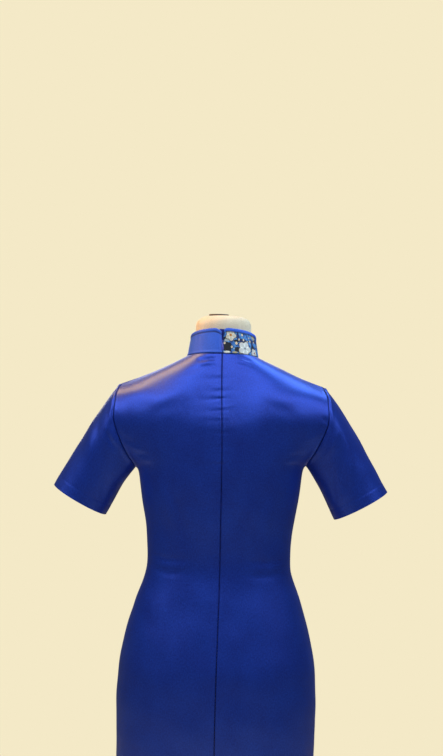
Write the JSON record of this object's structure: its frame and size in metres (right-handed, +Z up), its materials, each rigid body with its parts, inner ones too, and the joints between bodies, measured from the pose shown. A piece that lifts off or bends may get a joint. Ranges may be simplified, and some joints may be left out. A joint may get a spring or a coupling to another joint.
{
  "type": "cheongsam dress on a dress form",
  "caption": "Knee-length satin cheongsam with set-in short sleeves, a stand collar in satin and blossom print and a centre-back zip, worn by a limbless dress form on a stand.",
  "frame": {"origin": "centre of the underside of the stand's round base, on the floor", "axes": "+Z up, the wearer faces -Y so the back and its zip are towards +Y, the wearer's left sleeve is towards +X"},
  "size_m": [0.617, 0.35, 1.4936],
  "materials": {
    "satin": "royal-blue satin weave, soft sheen",
    "figured_cloth": "blue cloth with white blossoms, black and navy patches and gold outlines",
    "zip_cloth": "dark blue woven zip tape",
    "zip_metal": "glossy dark blue enamel",
    "linen": "natural plain-weave linen",
    "neck_plate": "dark brown satin paint",
    "pole": "brushed steel",
    "base": "black powder coat"
  },
  "bodies": {
    "dress_and_form": {"back_left": "satin", "back_right": "satin", "front": "satin", "sleeve_left": "satin", "sleeve_right": "satin", "collar_left": "satin", "collar_right": "figured_cloth", "binding_left": "satin", "binding_right": "satin", "zip_tape": "zip_cloth", "zip_slider": "zip_metal", "form_torso": "linen", "neck_plate": "neck_plate", "pole": "pole", "base": "base"},
    "pull_tab": {"zip_pull": "zip_metal"}
  },
  "joints": [
    {"name": "zip_pull_hinge", "type": "hinge", "parent": "dress_and_form", "child": "pull_tab", "pos_m": [0, 0.05855, 1.44196], "axis": [1, 0, 0], "range_deg": [0, 170]}
  ]
}
